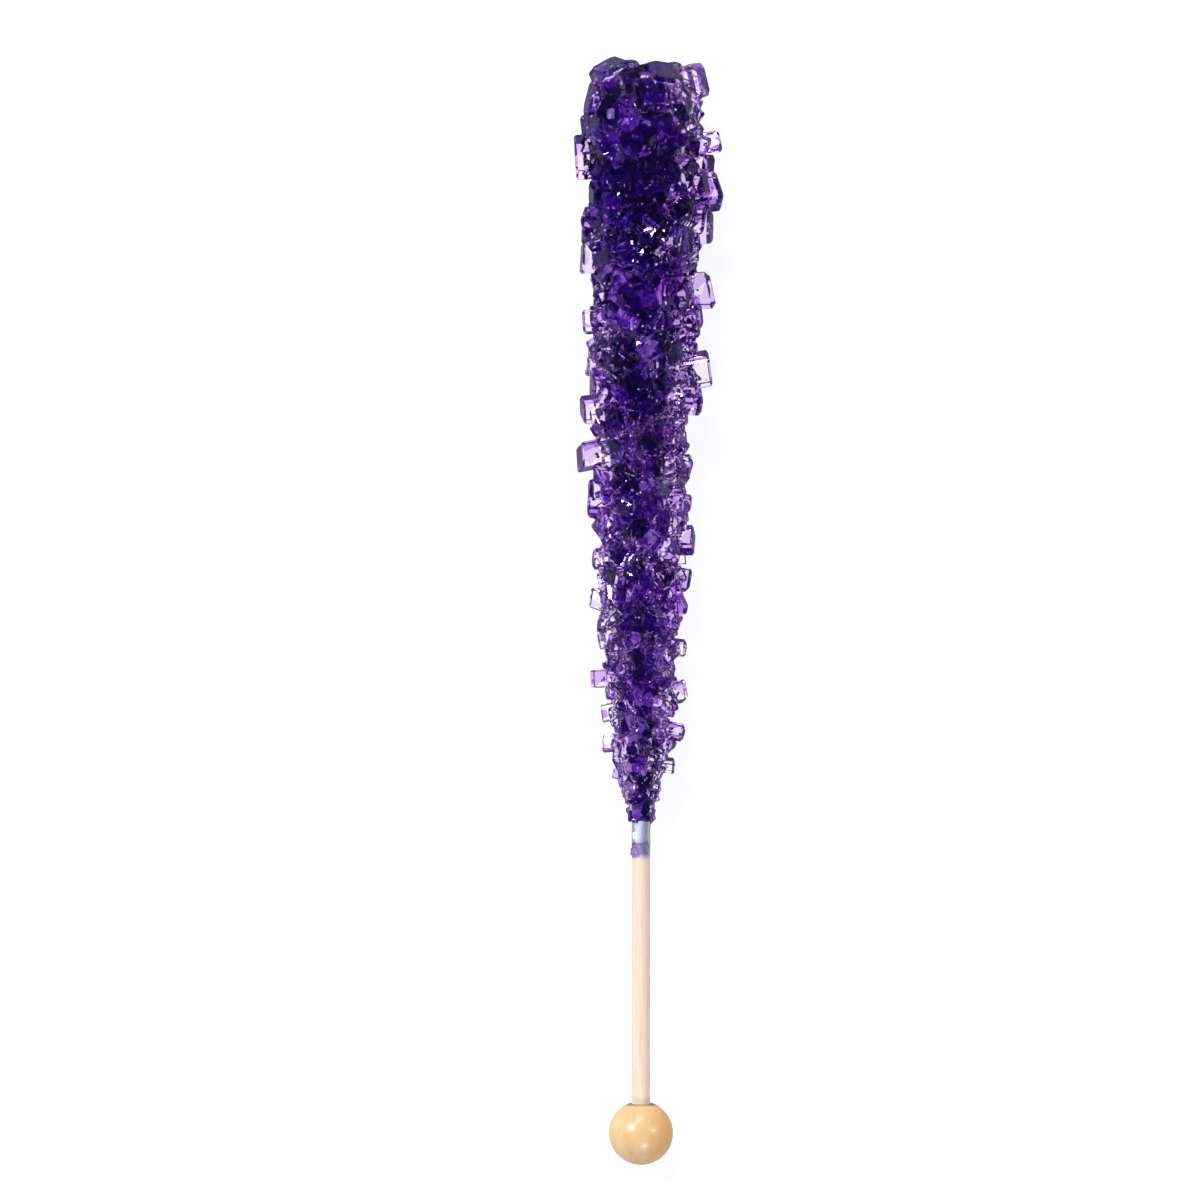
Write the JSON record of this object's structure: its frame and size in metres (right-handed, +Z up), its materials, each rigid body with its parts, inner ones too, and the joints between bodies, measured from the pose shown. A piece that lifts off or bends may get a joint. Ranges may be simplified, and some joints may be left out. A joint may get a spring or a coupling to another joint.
{
  "type": "rock candy stick",
  "caption": "Purple rock candy grown as a tapering club of sugar crystals on a thin wooden dowel with a wooden ball at its end, lying flat.",
  "frame": {"origin": "on the floor, below the centre of the lying stick's bounding box", "axes": "+Y along the stick towards the candy's tip, +Z up out of the floor, +X to the right of the shown side with the tip away"},
  "size_m": [0.0242, 0.178, 0.0209],
  "materials": {
    "candy": "clear purple sugar crystal, smooth glossy facets",
    "dowel": "bare pale birch, fine grain along its length",
    "ball": "clear lacquer over pale yellow wood"
  },
  "bodies": {
    "root": {"candy": "candy", "dowel": "dowel", "ball": "ball"}
  },
  "joints": []
}
